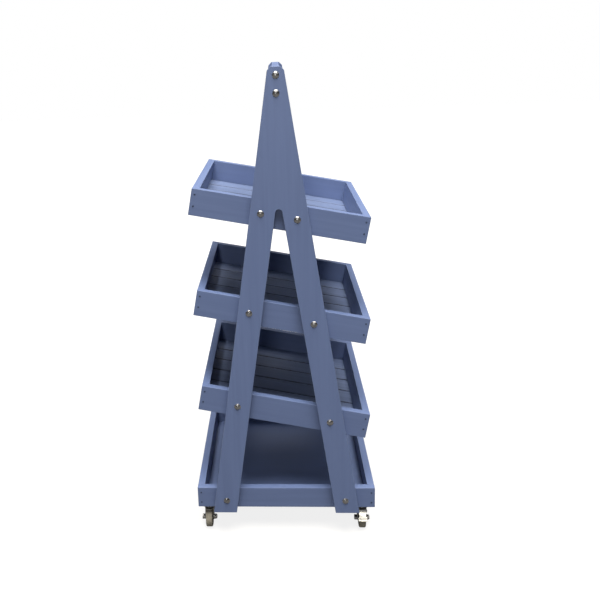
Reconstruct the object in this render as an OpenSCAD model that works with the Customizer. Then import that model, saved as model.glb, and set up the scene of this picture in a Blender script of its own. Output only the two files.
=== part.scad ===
// Plant trolley: two A-shaped end panels carry three tilted trays over a flat base tray on four castors.
// Millimetres. Origin on the floor under the middle of the trolley, +Z up.
// +X is the low display side of the trays (front), -Y is the left end seen from the front.

/* [End panels] */
// Height of the leg bottoms above the floor
leg_bottom_z = 68; // [66:1:70]
// Height of an end panel
panel_h = 1110; // [1000:5:1200]
// Width across the outside of the two legs at the bottom
leg_spread = 368; // [350:2:380]
// Width of one leg, measured level
leg_w = 59; // [50:1:66]
// Width of the panel where the top corners are cut off
apex_w = 38; // [34:1:44]
// Width left flat at the very top
apex_flat = 21; // [18:1:26]
// Radius of the round top of the gap between the legs
gap_r = 8; // [6:0.5:9]
// Thickness of the end panels and of every tray board
board_t = 18; // [16:1:20]

/* [Trays] */
// Length of all the trays, between the end panels
tray_len = 450; // [400:10:600]
// Width of the three tilted trays, from back to front
tray_w = 420; // [400:5:430]
// Depth of the three tilted trays
tray_h = 65; // [60:1:75]
// Angle that the trays lean forward
tray_tilt = 11; // [8:0.5:13]
// Height of the middle of the lower tray above the floor
lower_tray_z = 339; // [330:1:350]
// Height from one tilted tray to the next
tray_pitch = 249; // [235:1:255]
// Width of the base tray, from back to front
base_w = 450; // [440:5:470]
// Depth of the base tray's boards
base_h = 55; // [50:1:60]
// Thickness of the floor slats and of the base floor
floor_t = 9; // [8:0.5:10]
// Number of floor slats in a tilted tray
slat_count = 6; // [5:1:7]
// Gap between two floor slats
slat_gap = 2.4; // [1:0.1:3]

/* [Castors] */
// Height from the floor to the top of a castor's plate
castor_h = 63; // [62:0.5:66]
// Diameter of a castor wheel
wheel_d = 50; // [48:1:50]
// Distance that a wheel's axle trails behind its swivel
castor_trail = 15; // [13:0.5:15]
// Side of a castor's square plate
castor_plate_w = 46; // [44:1:48]
// Distance from the front or back of the base tray in to a castor's swivel
castor_in_x = 25; // [23:1:25]
// Distance from an end of the base tray in to a castor's swivel
castor_in_y = 42; // [42:1:55]
// Distance that the front castors are set further in
castor_front_in = 5; // [0:1:5]

/* [Fasteners] */
// Radius of a bolt's shank
bolt_r = 3; // [3:0.5:4]
// Radius of a bolt's domed head
bolt_head_r = 8; // [7:0.5:9]
// Height of a bolt's domed head
bolt_head_h = 3.6; // [3:0.1:4.5]

/* [Hidden] */
// Round faces
$fn = 48;
// Radial gap between a turning part and its shaft
run_gap = 0.05;
// Radial gap round a nail or a screw
loose_gap = 0.1;
// Radial gap round a bolt in wood
bolt_gap = 0.25;
// Amount that a cut passes a face, so that no skin is left
eps = 1;

// Corners of the base, as [front or back, left or right]
FRONT_LEFT = [1, -1];
FRONT_RIGHT = [1, 1];
BACK_LEFT = [-1, -1];
BACK_RIGHT = [-1, 1];
CORNERS = [FRONT_LEFT, FRONT_RIGHT, BACK_LEFT, BACK_RIGHT];
// Levels of the tilted trays
LOWER = 0;
MIDDLE = 1;
TOP = 2;
LEVELS = [LOWER, MIDDLE, TOP];
SIDES = [-1, 1];

blue = [0.37, 0.42, 0.55];
zinc = [0.78, 0.78, 0.76];
steel = [0.70, 0.70, 0.70];
grey_rubber = [0.50, 0.48, 0.43];
grey_plastic = [0.35, 0.35, 0.35];

// End panels
panel_bottom_z = leg_bottom_z;
panel_top_z = panel_bottom_z + panel_h;
apex_cut = (apex_w - apex_flat) / 2;
shoulder_z = panel_top_z - apex_cut;
leg_slope = (leg_spread - apex_w) / 2 / (shoulder_z - panel_bottom_z);
leg_angle = atan(leg_slope);
gap_bottom_w = leg_spread - 2 * leg_w;
gap_top_z = panel_bottom_z + (gap_bottom_w / 2 - gap_r / cos(leg_angle)) / leg_slope;
panel_in_y = tray_len / 2;
panel_out_y = panel_in_y + board_t;

// Trays
inner_len = tray_len - 2 * board_t;
side_h = tray_h - floor_t;
slat_pitch = inner_len / slat_count;
slat_w = slat_pitch - slat_gap;
// Distance of a tilted tray's bolts from the middle, lowest tray first
tray_bolt_x = [112.5, 76.5, 42];
tray_bolt_up = 2.5;
base_z = castor_h + floor_t;
base_bolt_z = base_z + 30.5;
floor_set_back = [2, 14];

// Top rail
rail_h = 70;
rail_z = panel_top_z - rail_h / 2;
rail_bolt_drops = [18.5, 58.2];
rail_bolt_len = 60;
barrel_r = 5;
barrel_len = 15;
barrel_in = 33;

// Nails
nail_r = 1.2;
nail_head_r = 2.2;
nail_head_h = 1;
nail_len = 40;
nail_inset = board_t / 2;
pin_r = 0.9;
pin_head_r = 1.8;
pin_len = 24;
pin_inset = board_t * 2 / 3;
pin_spread = 20;
base_pin_spots = [-120, -40, 40, 120];

// Bolts
washer_r = 9;
washer_t = 1.6;
nut_r = 5.8;
nut_h = 5;
bolt_tail = 2.5;
bolt_grip = 2 * board_t;

// Castors, each in its own axes: its swivel at x = y = 0, trailing towards -Y
wheel_r = wheel_d / 2;
plate_t = 2.5;
race_r = 15;
race_t = 4.4;
crown_r = 19;
crown_t = 2;
crown_rim_h = 4.6;
hood_end = 28;
hood_root = 12;
kingpin_r = 4;
kingpin_head_r = 7;
kingpin_head_h = 2;
screw_r = 2;
screw_head_r = 4;
screw_head_h = 2;
screw_spread = 34;
long_screw = 22;
short_screw = 10.5;
fork_gap_w = 19;
fork_t = 2;
fork_w = fork_gap_w + 2 * fork_t;
fork_half_len = 15;
fork_boss_r = 7;
axle_r = 3;
axle_nut_r = 7;
axle_nut_h = 7.5;
axle_tail = 0.5;
tyre_w = 17;
tyre_in_r = 19;
tyre_edge_r = 3;
hub_w = 18.8;
hub_r = 7;
hub_rim_in_r = 16.5;
hub_rim_w = 15;
hub_web_t = 6;
plate_z = castor_h - plate_t;
race_z = plate_z - race_t;
crown_top_z = race_z - run_gap;
crown_z = crown_top_z - crown_t;
axle_yz = [-castor_trail, wheel_r];

// Brake pedals, wrapped round the upper trailing part of a wheel
pedal_gap = 3.5;
pedal_t = 1.6;
pedal_w = 17;
pedal_low = 16;
pedal_flare = 34;
pedal_high = 72;
lip_len = 3;
lip_w = 22;
brake_pin_r = 1.5;
brake_pin_angle = 66;
brake_eye_r = 3;
brake_ear_r = 3.6;
pin_rivet_r = 2.5;
pin_rivet_h = 1;
pedal_in_r = wheel_r + pedal_gap;
pedal_out_r = pedal_in_r + pedal_t;
brake_pin_yz = axle_yz + trailing(brake_pin_angle, pedal_in_r + pedal_t / 2);

// Half the outside width of the legs at height z
function leg_out(z) = leg_spread / 2 - leg_slope * (z - panel_bottom_z);
// Distance of a leg's centre line from the middle at height z
function leg_mid(z) = leg_out(z) - leg_w / 2;
// Height of the middle of a tilted tray
function tray_z(level) = lower_tray_z + level * tray_pitch;
// The two bolts in a tilted tray's end, as [x, z]
function level_bolts(level) = [
    for (side = SIDES)
        [side * tray_bolt_x[level],
         tray_z(level) - side * tray_bolt_x[level] * tan(tray_tilt) + tray_bolt_up / cos(tray_tilt)]
];
base_bolts = [for (side = SIDES) [side * leg_mid(base_bolt_z), base_bolt_z]];
through_bolts = concat(level_bolts(LOWER), level_bolts(MIDDLE), level_bolts(TOP), base_bolts);
rail_bolts = [for (drop = rail_bolt_drops) [0, panel_top_z - drop]];
// Middle of one floor slat along the tray
function slat_y(i) = -inner_len / 2 + (i + 0.5) * slat_pitch;
// Nails of a floor slat's end, along the tray
slat_pins = [for (i = [0 : slat_count - 1]) for (side = SIDES) slat_y(i) + side * pin_spread];
// Heights of the two nails in a board's end
function nail_spots(low, high) = [for (share = [0.25, 0.75]) low + share * (high - low)];
tray_nail_spots = nail_spots(floor_t - tray_h / 2, tray_h / 2);
base_nail_spots = nail_spots(base_z, base_z + base_h);
// Centres of a castor's screws about its swivel
screw_spots = [for (x = SIDES) for (y = SIDES) [x, y] * screw_spread / 2];
// Offset of length r on the trailing side of a wheel, at an angle above the level
function trailing(angle, r) = r * [-cos(angle), sin(angle)];
// Touching point on a circle of radius r at c for a line from p, on the given side
function tangent(p, c, r, side) =
    let (d = p - c, far = norm(d), a = atan2(d[1], d[0]) + side * acos(r / far))
    c + r * [cos(a), sin(a)];

// ---- Places ----

// A block centred on x and y, standing on z
module block(x, y, z, size) {
    translate([x - size[0] / 2, y - size[1] / 2, z]) cube(size);
}

// Moves its children into the tilted axes of a tray
module on_tray(level) {
    translate([0, 0, tray_z(level)]) rotate([0, tray_tilt, 0]) children();
}

// Moves its children to the floor under a castor's swivel
module at_castor(corner) {
    front_in = corner[0] > 0 ? castor_front_in : 0;
    x = base_w / 2 - castor_in_x - front_in;
    y = tray_len / 2 - castor_in_y;
    translate([corner[0] * x, corner[1] * y, 0]) children();
}

// Moves children made along +Z so that they lie along +X through a spot in a castor, as [y, z]
module across(spot) {
    translate([0, spot[0], spot[1]]) rotate([0, 90, 0]) children();
}

// A rod across a castor, centred on x = 0
module cross_rod(spot, r, len) {
    across(spot) cylinder(r = r, h = len, center = true);
}

// Extrudes a side view of a castor, drawn as [y, z], from x to x + width
module side_plate(x, width) {
    translate([x, 0, 0]) rotate([90, 0, 90]) linear_extrude(width) children();
}

// A rod along Y from y0 to y1, at [x, z]
module y_rod(spot, y0, y1, r) {
    translate([spot[0], min(y0, y1), spot[1]]) rotate([-90, 0, 0]) cylinder(r = r, h = abs(y1 - y0));
}

// ---- Fasteners ----

// Nail standing on its head at the origin, pointing up
module nail(r, head_r, len, gap = 0) {
    cylinder(r = r + gap, h = len + gap);
    cylinder(r = head_r + gap, h = nail_head_h + gap);
}

// The nails that hold one end board on, outside face at y = side * panel_in_y
module end_nails(width, spots, side, gap = 0) {
    for (x = SIDES) for (z = spots)
        translate([x * (width / 2 - nail_inset), side * panel_in_y, z])
            rotate([side * 90, 0, 0]) nail(nail_r, nail_head_r, nail_len, gap);
}

// The nails that hold a tilted tray's slats, in the tray's axes
module slat_nails(gap = 0) {
    for (x = SIDES) for (y = slat_pins)
        translate([x * (tray_w / 2 - pin_inset), y, -tray_h / 2])
            nail(pin_r, pin_head_r, pin_len, gap);
}

// The nails that hold the base floor to the front and back boards
module base_nails(gap = 0) {
    for (side = SIDES) for (y = base_pin_spots)
        translate([side * (base_w / 2 - pin_inset), y, castor_h])
            nail(pin_r, pin_head_r, pin_len, gap);
}

// A domed head on the end panel's outer face
module dome_head(spot, side) {
    ball = (bolt_head_r * bolt_head_r + bolt_head_h * bolt_head_h) / (2 * bolt_head_h);
    translate([spot[0], side * panel_out_y, spot[1]]) rotate([-side * 90, 0, 0]) intersection() {
        translate([0, 0, bolt_head_h - ball]) sphere(r = ball);
        cylinder(r = bolt_head_r, h = bolt_head_h);
    }
}

// A domed bolt that starts at the end panel and goes len inwards
module dome_bolt(spot, side, len) {
    union() {
        dome_head(spot, side);
        y_rod(spot, side * panel_out_y, side * (panel_out_y - len), bolt_r);
    }
}

// Holes for the bolts that run along Y
module bolt_holes(spots, side, r = bolt_r + bolt_gap) {
    for (spot = spots)
        y_rod(spot, side * (panel_out_y + eps), side * (panel_in_y - board_t - eps), r);
}

module coach_bolts() {
    color(steel) for (side = SIDES) for (spot = through_bolts)
        dome_bolt(spot, side, bolt_grip + washer_t + nut_h + bolt_tail);
}

module bolt_washers() {
    washer_y = panel_in_y - board_t;
    color(zinc) for (side = SIDES) for (spot = through_bolts) difference() {
        y_rod(spot, side * washer_y, side * (washer_y - washer_t), washer_r);
        y_rod(spot, side * (washer_y + eps), side * (washer_y - washer_t - eps), bolt_r + bolt_gap);
    }
}

module bolt_nuts() {
    nut_y = panel_in_y - board_t - washer_t;
    color(zinc) for (side = SIDES) for (spot = through_bolts)
        translate([spot[0], side * nut_y, spot[1]]) rotate([side * 90, 0, 0]) difference() {
            cylinder(r = nut_r, h = nut_h, $fn = 6);
            translate([0, 0, -eps]) cylinder(r = bolt_r + loose_gap, h = nut_h + 2 * eps);
        }
}

module rail_bolts() {
    color(steel) for (side = SIDES) for (spot = rail_bolts) dome_bolt(spot, side, rail_bolt_len);
}

// A bar across the rail, open towards the back
module barrel(spot, side, r, len) {
    translate([-board_t / 2, side * (panel_in_y - barrel_in), spot[1]])
        rotate([0, 90, 0]) cylinder(r = r, h = len);
}

module rail_barrel_nuts() {
    color(steel) for (side = SIDES) for (spot = rail_bolts) difference() {
        barrel(spot, side, barrel_r, barrel_len);
        y_rod(spot, side * panel_in_y, side * (panel_in_y - 2 * barrel_in), bolt_r + loose_gap);
    }
}

module board_nails() {
    color(steel) for (side = SIDES) {
        for (level = LEVELS) on_tray(level) end_nails(tray_w, tray_nail_spots, side);
        end_nails(base_w, base_nail_spots, side);
    }
}

module floor_nails() {
    color(steel) {
        for (level = LEVELS) on_tray(level) slat_nails();
        base_nails();
    }
}

// ---- Frame ----

// Outline of an end panel, seen from the front end, standing on the leg bottoms
module panel_outline() {
    difference() {
        polygon([
            [-leg_spread / 2, panel_bottom_z], [leg_spread / 2, panel_bottom_z],
            [apex_w / 2, shoulder_z], [apex_flat / 2, panel_top_z],
            [-apex_flat / 2, panel_top_z], [-apex_w / 2, shoulder_z]
        ]);
        gap_outline();
    }
}

// The tapering gap between the legs, with a round top
module gap_outline() {
    edge = gap_r * [cos(leg_angle), sin(leg_angle)];
    below = gap_bottom_w / 2 + leg_slope * eps;
    translate([0, gap_top_z]) circle(r = gap_r);
    polygon([
        [-below, panel_bottom_z - eps], [below, panel_bottom_z - eps],
        [edge[0], gap_top_z + edge[1]], [-edge[0], gap_top_z + edge[1]]
    ]);
}

module end_panel(side) {
    color(blue) difference() {
        translate([0, side > 0 ? panel_out_y : -panel_in_y, 0]) rotate([90, 0, 0])
            linear_extrude(board_t) panel_outline();
        bolt_holes(through_bolts, side);
        bolt_holes(rail_bolts, side);
    }
}

module left_end_panel() { end_panel(-1); }
module right_end_panel() { end_panel(1); }

module top_rail() {
    hole_end = panel_out_y - rail_bolt_len - eps;
    color(blue) difference() {
        block(0, 0, rail_z - rail_h / 2, [board_t, tray_len, rail_h]);
        for (side = SIDES) for (spot = rail_bolts) {
            y_rod(spot, side * panel_out_y, side * hole_end, bolt_r + bolt_gap);
            translate([-eps, 0, 0]) barrel(spot, side, barrel_r + loose_gap, barrel_len + eps + 0.5);
        }
    }
}

// ---- Trays ----

// A front or back board of a tilted tray
module tray_side_board(level, side) {
    color(blue) on_tray(level) difference() {
        block(side * (tray_w - board_t) / 2, 0, floor_t - tray_h / 2, [board_t, inner_len, side_h]);
        for (end = SIDES) end_nails(tray_w, tray_nail_spots, end, loose_gap);
        slat_nails(loose_gap);
    }
}

// An end board of a tilted tray, outside the front and back boards' ends
module tray_end_board(level, side) {
    color(blue) difference() {
        on_tray(level) difference() {
            block(0, side * (tray_len - board_t) / 2, -tray_h / 2, [tray_w, board_t, tray_h]);
            end_nails(tray_w, tray_nail_spots, side, loose_gap);
        }
        bolt_holes(level_bolts(level), side);
    }
}

// The floor slats of a tilted tray, nailed up under the front and back boards
module tray_slats(level) {
    color(blue) on_tray(level) difference() {
        for (i = [0 : slat_count - 1])
            block(0, slat_y(i), -tray_h / 2, [tray_w, slat_w, floor_t]);
        slat_nails(loose_gap);
    }
}

module base_side_board(side) {
    color(blue) difference() {
        block(side * (base_w - board_t) / 2, 0, base_z, [board_t, inner_len, base_h]);
        for (end = SIDES) end_nails(base_w, base_nail_spots, end, loose_gap);
        base_nails(loose_gap);
        castor_screw_set(loose_gap);
    }
}

module base_end_board(side) {
    color(blue) difference() {
        block(0, side * (tray_len - board_t) / 2, base_z, [base_w, board_t, base_h]);
        end_nails(base_w, base_nail_spots, side, loose_gap);
        bolt_holes(base_bolts, side);
    }
}

// The base floor, set back so that its edge stays hidden under the boards
module base_floor() {
    size = [base_w, tray_len] - 2 * floor_set_back;
    color(blue) difference() {
        block(0, 0, castor_h, [size[0], size[1], floor_t]);
        base_nails(loose_gap);
        castor_screw_set(loose_gap);
    }
}

// ---- Castors ----

// Wood screws of all the castors: long ones go up into a board, short ones end in the floor
module castor_screw_set(gap = 0) {
    for (corner = CORNERS) for (spot = screw_spots) {
        under_board = corner[0] * spot[0] > 0;
        at_castor(corner) translate([spot[0], spot[1], plate_z])
            cylinder(r = screw_r + gap, h = under_board ? long_screw : short_screw);
    }
}

module castor_screws() {
    color(zinc) {
        castor_screw_set();
        for (corner = CORNERS) for (spot = screw_spots)
            at_castor(corner) translate([spot[0], spot[1], plate_z - screw_head_h])
                cylinder(r = screw_head_r, h = screw_head_h);
    }
}

// Rivets that hold the forks up against the plates and let them turn
module castor_kingpins() {
    head_z = crown_z - run_gap - kingpin_head_h;
    color(steel) for (corner = CORNERS) at_castor(corner) translate([0, 0, head_z]) {
        cylinder(r = kingpin_head_r, h = kingpin_head_h);
        cylinder(r = kingpin_r, h = castor_h - head_z);
    }
}

module castor_plate(corner) {
    color(zinc) at_castor(corner) difference() {
        union() {
            block(0, 0, plate_z, [castor_plate_w, castor_plate_w, plate_t]);
            translate([0, 0, race_z]) cylinder(r = race_r, h = race_t);
        }
        translate([0, 0, race_z - eps]) cylinder(r = kingpin_r + run_gap, h = castor_h);
        for (spot = screw_spots)
            translate([spot[0], spot[1], plate_z - eps])
                cylinder(r = screw_r + bolt_gap, h = plate_t + 2 * eps);
    }
}

// A fork's cheek from the side: as wide as the crown at the top, narrowing to the axle
module fork_side() {
    back = [-fork_half_len, crown_z];
    front = [fork_half_len, crown_z];
    translate(axle_yz) circle(r = fork_boss_r);
    polygon([
        [-fork_half_len, crown_top_z], back, tangent(back, axle_yz, fork_boss_r, 1),
        tangent(front, axle_yz, fork_boss_r, -1), front, [fork_half_len, crown_top_z]
    ]);
}

// The ear that carries a brake pedal's pin
module brake_ear() {
    translate(brake_pin_yz) circle(r = brake_ear_r);
    translate(brake_pin_yz - [0, brake_ear_r]) square([-brake_pin_yz[0], 2 * brake_ear_r]);
}

// A fork's top: a round dish with its rim turned down
module fork_crown() {
    difference() {
        translate([0, 0, crown_top_z - crown_rim_h]) cylinder(r = crown_r, h = crown_rim_h);
        translate([0, 0, crown_z - crown_rim_h]) cylinder(r = crown_r - crown_t, h = crown_rim_h);
    }
}

// A plain fork's hood, which reaches from the crown out over the wheel
module fork_hood() {
    bend_y = fork_w / 2 - hood_end;
    translate([0, 0, crown_z - crown_t]) linear_extrude(crown_t) {
        translate([-fork_w / 2, bend_y]) square([fork_w, -hood_root - bend_y]);
        intersection() {
            translate([0, bend_y]) circle(r = fork_w / 2);
            translate([-fork_w / 2, -hood_end]) square([fork_w, hood_end - hood_root]);
        }
    }
}

module castor_fork(corner, braked) {
    color(zinc) at_castor(corner) difference() {
        union() {
            fork_crown();
            if (!braked) fork_hood();
            for (x = [-fork_w / 2, fork_gap_w / 2]) side_plate(x, fork_t) {
                fork_side();
                if (braked) brake_ear();
            }
        }
        translate([0, 0, crown_z - eps]) cylinder(r = kingpin_r + run_gap, h = crown_t + 2 * eps);
        cross_rod(axle_yz, axle_r + run_gap, 2 * fork_w);
        if (braked) cross_rod(brake_pin_yz, brake_pin_r + run_gap, 2 * fork_w);
    }
}

module castor_axle(corner) {
    color(steel) at_castor(corner) across(axle_yz) {
        translate([0, 0, -fork_w / 2]) cylinder(r = axle_r, h = fork_w + axle_nut_h + axle_tail);
        translate([0, 0, -fork_w / 2 - axle_nut_h]) cylinder(r = axle_nut_r, h = axle_nut_h, $fn = 6);
    }
}

module castor_axle_nut(corner) {
    color(zinc) at_castor(corner) across(axle_yz) translate([0, 0, fork_w / 2]) difference() {
        cylinder(r = axle_nut_r, h = axle_nut_h, $fn = 6);
        translate([0, 0, -eps]) cylinder(r = axle_r + run_gap, h = axle_nut_h + 2 * eps);
    }
}

module castor_hub(corner) {
    bore = axle_r + run_gap;
    color(grey_plastic) at_castor(corner) across(axle_yz) rotate_extrude() {
        translate([bore, -hub_w / 2]) square([hub_r - bore, hub_w]);
        translate([bore, -hub_web_t / 2]) square([tyre_in_r - bore, hub_web_t]);
        translate([hub_rim_in_r, -hub_rim_w / 2]) square([tyre_in_r - hub_rim_in_r, hub_rim_w]);
    }
}

module castor_tyre(corner) {
    depth = wheel_r - tyre_in_r;
    color(grey_rubber) at_castor(corner) across(axle_yz) rotate_extrude() {
        translate([tyre_in_r, -tyre_w / 2]) square([depth - tyre_edge_r, tyre_w]);
        translate([tyre_in_r, tyre_edge_r - tyre_w / 2]) square([depth, tyre_w - 2 * tyre_edge_r]);
        for (x = SIDES)
            translate([wheel_r - tyre_edge_r, x * (tyre_w / 2 - tyre_edge_r)]) circle(r = tyre_edge_r);
    }
}

// The curve of a brake pedal from one angle to another, from the side
module pedal_arc(low, high) {
    reach = 2 * pedal_out_r;
    translate(axle_yz) intersection() {
        difference() {
            circle(r = pedal_out_r);
            circle(r = pedal_in_r);
        }
        polygon([[0, 0], trailing(low, reach), trailing(high, reach)]);
    }
}

// The lip at the pedal's lower end, from the side
module pedal_lip() {
    translate(axle_yz) rotate(180 - pedal_low) translate([pedal_in_r, -pedal_t])
        square([pedal_t + lip_len, pedal_t]);
}

module brake_pedal(corner) {
    color(zinc) at_castor(corner) difference() {
        union() {
            side_plate(-pedal_w / 2, pedal_w) pedal_arc(pedal_low, pedal_high);
            side_plate(-lip_w / 2, lip_w) {
                pedal_arc(pedal_low, pedal_flare);
                pedal_lip();
            }
            cross_rod(brake_pin_yz, brake_eye_r, hub_w);
        }
        cross_rod(brake_pin_yz, brake_pin_r + run_gap, 2 * fork_w);
    }
}

module brake_pin(corner) {
    color(steel) at_castor(corner) {
        cross_rod(brake_pin_yz, brake_pin_r, fork_w);
        for (x = SIDES) across(brake_pin_yz)
            translate([0, 0, x * (fork_w + pin_rivet_h) / 2])
                cylinder(r = pin_rivet_r, h = pin_rivet_h, center = true);
    }
}

// ---- Nodes ----

left_end_panel();
right_end_panel();
top_rail();
tray_side_board(TOP, 1);  // top_tray_front_board
tray_side_board(TOP, -1);  // top_tray_back_board
tray_end_board(TOP, -1);  // top_tray_left_board
tray_end_board(TOP, 1);  // top_tray_right_board
tray_slats(TOP);  // top_tray_slats
tray_side_board(MIDDLE, 1);  // middle_tray_front_board
tray_side_board(MIDDLE, -1);  // middle_tray_back_board
tray_end_board(MIDDLE, -1);  // middle_tray_left_board
tray_end_board(MIDDLE, 1);  // middle_tray_right_board
tray_slats(MIDDLE);  // middle_tray_slats
tray_side_board(LOWER, 1);  // lower_tray_front_board
tray_side_board(LOWER, -1);  // lower_tray_back_board
tray_end_board(LOWER, -1);  // lower_tray_left_board
tray_end_board(LOWER, 1);  // lower_tray_right_board
tray_slats(LOWER);  // lower_tray_slats
base_side_board(1);  // base_front_board
base_side_board(-1);  // base_back_board
base_end_board(-1);  // base_left_board
base_end_board(1);  // base_right_board
base_floor();
coach_bolts();
bolt_washers();
bolt_nuts();
rail_bolts();
rail_barrel_nuts();
board_nails();
floor_nails();
castor_screws();
castor_kingpins();
castor_plate(FRONT_LEFT);  // front_left_castor_plate
castor_fork(FRONT_LEFT, true);  // front_left_fork
castor_axle(FRONT_LEFT);  // front_left_axle
castor_axle_nut(FRONT_LEFT);  // front_left_axle_nut
castor_hub(FRONT_LEFT);  // front_left_hub
castor_tyre(FRONT_LEFT);  // front_left_tyre
brake_pedal(FRONT_LEFT);  // front_left_brake_pedal
brake_pin(FRONT_LEFT);  // front_left_brake_pin
castor_plate(FRONT_RIGHT);  // front_right_castor_plate
castor_fork(FRONT_RIGHT, true);  // front_right_fork
castor_axle(FRONT_RIGHT);  // front_right_axle
castor_axle_nut(FRONT_RIGHT);  // front_right_axle_nut
castor_hub(FRONT_RIGHT);  // front_right_hub
castor_tyre(FRONT_RIGHT);  // front_right_tyre
brake_pedal(FRONT_RIGHT);  // front_right_brake_pedal
brake_pin(FRONT_RIGHT);  // front_right_brake_pin
castor_plate(BACK_LEFT);  // back_left_castor_plate
castor_fork(BACK_LEFT, false);  // back_left_fork
castor_axle(BACK_LEFT);  // back_left_axle
castor_axle_nut(BACK_LEFT);  // back_left_axle_nut
castor_hub(BACK_LEFT);  // back_left_hub
castor_tyre(BACK_LEFT);  // back_left_tyre
castor_plate(BACK_RIGHT);  // back_right_castor_plate
castor_fork(BACK_RIGHT, false);  // back_right_fork
castor_axle(BACK_RIGHT);  // back_right_axle
castor_axle_nut(BACK_RIGHT);  // back_right_axle_nut
castor_hub(BACK_RIGHT);  // back_right_hub
castor_tyre(BACK_RIGHT);  // back_right_tyre
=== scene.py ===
"""The looks of the plant trolley: painted boards, bolts, nails and castors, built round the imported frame."""

import math
import random

import bmesh
import bpy
from mathutils import Matrix, Vector, noise


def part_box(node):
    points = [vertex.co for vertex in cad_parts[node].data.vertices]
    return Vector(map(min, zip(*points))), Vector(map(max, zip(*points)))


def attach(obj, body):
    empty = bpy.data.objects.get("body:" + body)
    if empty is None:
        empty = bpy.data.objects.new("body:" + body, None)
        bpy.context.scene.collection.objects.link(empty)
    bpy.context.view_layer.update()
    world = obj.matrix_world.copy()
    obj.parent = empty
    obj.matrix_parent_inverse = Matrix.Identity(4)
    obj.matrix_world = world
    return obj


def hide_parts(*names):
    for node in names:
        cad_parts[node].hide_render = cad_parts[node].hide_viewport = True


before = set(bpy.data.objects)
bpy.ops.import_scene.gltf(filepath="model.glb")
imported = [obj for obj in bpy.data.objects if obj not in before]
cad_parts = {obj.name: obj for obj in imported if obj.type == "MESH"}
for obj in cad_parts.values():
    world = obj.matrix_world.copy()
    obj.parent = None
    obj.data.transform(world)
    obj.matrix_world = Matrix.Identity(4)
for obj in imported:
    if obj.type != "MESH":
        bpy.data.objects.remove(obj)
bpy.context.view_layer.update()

MM = 0.001
SIDES = (-1, 1)
LEVELS = ("top", "middle", "lower")
CORNERS = ("front_left", "front_right", "back_left", "back_right")
BRAKED = ("front_left", "front_right")

# Sizes that the frame's boxes don't give, in metres and radians

# Wood
TRAY_TILT = math.radians(11)
BOARD_T = 18 * MM
TRAY_W = 420 * MM
TRAY_H = 65 * MM
FLOOR_T = 9 * MM
SLAT_COUNT = 6
SLAT_GAP = 2.4 * MM
SLAT_SHORTER = 0.4 * MM
SLAT_EDGE_R = 2.2 * MM
LEG_W = 59 * MM
APEX_W = 38 * MM
APEX_FLAT = 21 * MM
GAP_R = 8 * MM
EDGE_R = 1.1 * MM
BOARD_WAVE = 0.35 * MM
WAVES_PER_METRE = 18
CUT_SPACING = 50 * MM

# Bolts and nails
BOLT_R = 3 * MM
BOLT_HEAD_R = 8 * MM
BOLT_HEAD_H = 3.6 * MM
BOLT_TAIL = 2.5 * MM
THREAD_PITCH = 1 * MM
THREAD_DEPTH = 0.3 * MM
WASHER_R = 9 * MM
WASHER_T = 1.6 * MM
NUT_R = 5.8 * MM
NUT_H = 5 * MM
NUT_EDGE_R = 0.5 * MM
BARREL_R = 5 * MM
NAIL_HEAD_R = 2.2 * MM
NAIL_INSET = BOARD_T / 2
NAIL_PROUD = 0.25 * MM
NAIL_SHARES = (0.25, 0.75)
PIN_HEAD_R = 1.8 * MM
PIN_INSET = BOARD_T * 2 / 3
PIN_SPREAD = 20 * MM
BASE_PINS = (40 * MM, 120 * MM)

# Castors
TRAIL = 15 * MM
PLATE_T = 2.5 * MM
PLATE_CORNER_R = 5 * MM
PRESSED_EDGE_R = 0.4 * MM
CUT_EDGE_R = 0.35 * MM
RACE_R = 15 * MM
SCREW_SPREAD = 34 * MM
SCREW_HEAD_R = 4 * MM
SCREW_HEAD_H = 2 * MM
KINGPIN_HEAD_R = 7 * MM
KINGPIN_HEAD_H = 2 * MM
CROWN_R = 19 * MM
CROWN_RIM_H = 4.6 * MM
HOOD_END = 28 * MM
HOOD_ROOT = 12 * MM
FORK_T = 2 * MM
FORK_W = 23 * MM
FORK_HALF_LEN = 15 * MM
FORK_BOSS_R = 7 * MM
AXLE_NUT_R = 7 * MM
AXLE_NUT_H = 7.5 * MM
AXLE_TAIL = 0.5 * MM
RUN_GAP = 0.05 * MM
WHEEL_R = 25 * MM
TYRE_W = 17 * MM
TYRE_IN_R = 19 * MM
TYRE_EDGE_R = 3 * MM
HUB_W = 18.8 * MM
HUB_R = 7 * MM
HUB_RIM_IN_R = 16.5 * MM
HUB_RIM_W = 15 * MM
HUB_WEB_T = 6 * MM
RIB_COUNT = 6
RIB_SIZE = (9.6 * MM, 1.8 * MM, 12.4 * MM)
RIB_MID_R = 11.7 * MM
RIB_EDGE_R = 0.4 * MM

# Brake pedals. The first three angles are in degrees round the wheel.
PEDAL_TOP = 108
PEDAL_FLARE = 146
PEDAL_FOOT = 164
PEDAL_GAP = 3.5 * MM
PEDAL_T = 1.6 * MM
PEDAL_W = 17 * MM
LIP_W = 22 * MM
LIP_LEN = 3 * MM
RIDGE_R = 0.4 * MM
RIDGE_HALF_LEN = 9 * MM
BRAKE_PIN_ANGLE = math.radians(66)
BRAKE_PIN_R = 1.5 * MM
BRAKE_EYE_R = 3 * MM
BRAKE_EAR_R = 3.6 * MM
BRAKE_EAR_FOOT = 1.45 * MM
BRAKE_RIVET_R = 2.5 * MM
BRAKE_RIVET_H = 1 * MM

draws = random.Random(7)


# ---- Materials ----


def node(tree, kind, inputs=None, **settings):
    """Adds a shader node. An input is a value, or a socket to link from."""
    made = tree.nodes.new(kind)
    for key, value in settings.items():
        setattr(made, key, value)
    for key, value in (inputs or {}).items():
        if isinstance(value, bpy.types.NodeSocket):
            tree.links.new(value, made.inputs[key])
        else:
            made.inputs[key].default_value = value
    return made


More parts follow.
